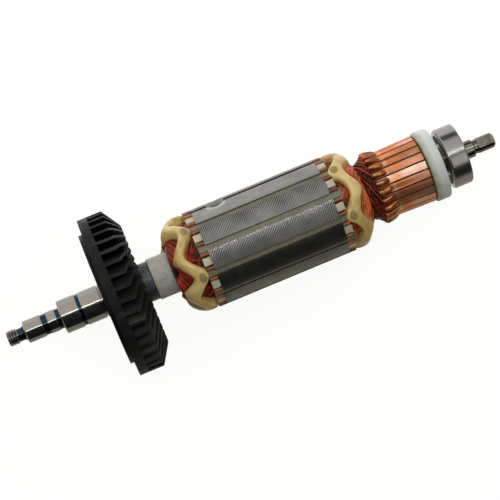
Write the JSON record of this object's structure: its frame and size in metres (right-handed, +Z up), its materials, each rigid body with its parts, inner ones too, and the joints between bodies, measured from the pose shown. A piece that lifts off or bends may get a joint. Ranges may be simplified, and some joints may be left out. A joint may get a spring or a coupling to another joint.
{
  "type": "motor armature",
  "caption": "Wound motor armature on its shaft, with cooling fan, slotted laminated core, resin-beaded windings, hook commutator and ball bearing.",
  "frame": {"origin": "on the shaft axis, at the middle of the drive bearing seat", "axes": "+X runs along the shaft from the drive end to the commutator end, +Z is up"},
  "size_m": [0.1841, 0.0582, 0.0582],
  "materials": {
    "ground_steel": "ground",
    "fan_plastic": "moulded, dusty",
    "collar_steel": "stained",
    "sleeve_fibre": "fibre tube",
    "core_steel": "turned laminations",
    "insulator_white": "moulded",
    "liner_paper": "pressboard",
    "wedge_fibre": "varnished fibre",
    "wire_enamel": "enamelled copper wire",
    "bead_resin": "cured resin",
    "hub_moulding": "phenolic moulding",
    "bar_copper": "turned copper",
    "ring_nylon": "natural nylon",
    "bearing_steel": "polished",
    "cage_nylon": "moulded",
    "seal_rubber": "moulded"
  },
  "bodies": {
    "armature": {"shaft": "ground_steel", "fan": "fan_plastic", "fan_spacer": "collar_steel", "shaft_sleeve": "sleeve_fibre", "core": "core_steel", "drive_end_insulator": "insulator_white", "commutator_end_insulator": "insulator_white", "slot_liners": "liner_paper", "slot_wedges": "wedge_fibre", "slot_coils": "wire_enamel", "drive_end_winding": "wire_enamel", "commutator_end_winding": "wire_enamel", "drive_end_bead": "bead_resin", "commutator_end_bead": "bead_resin", "lead_wires": "wire_enamel", "commutator_hub": "hub_moulding", "commutator_bars": "bar_copper", "insulating_ring": "ring_nylon", "bearing_inner_ring": "bearing_steel"},
    "outer_ring": {"bearing_outer_ring": "bearing_steel", "bearing_seal_inboard": "seal_rubber", "bearing_seal_outboard": "seal_rubber"},
    "ball_set": {"bearing_balls": "bearing_steel", "bearing_cage": "cage_nylon"}
  },
  "joints": [
    {"name": "outer_ring_spin", "type": "hinge", "parent": "armature", "child": "outer_ring", "pos_m": [0.14495, 0, 0], "axis": [1, 0, 0], "continuous": true},
    {"name": "ball_set_spin", "type": "hinge", "parent": "armature", "child": "ball_set", "pos_m": [0.14495, 0, 0], "axis": [1, 0, 0], "continuous": true}
  ],
  "couplings": [
    {"joint": "ball_set_spin", "follows": "outer_ring_spin", "ratio": 0.6323}
  ]
}
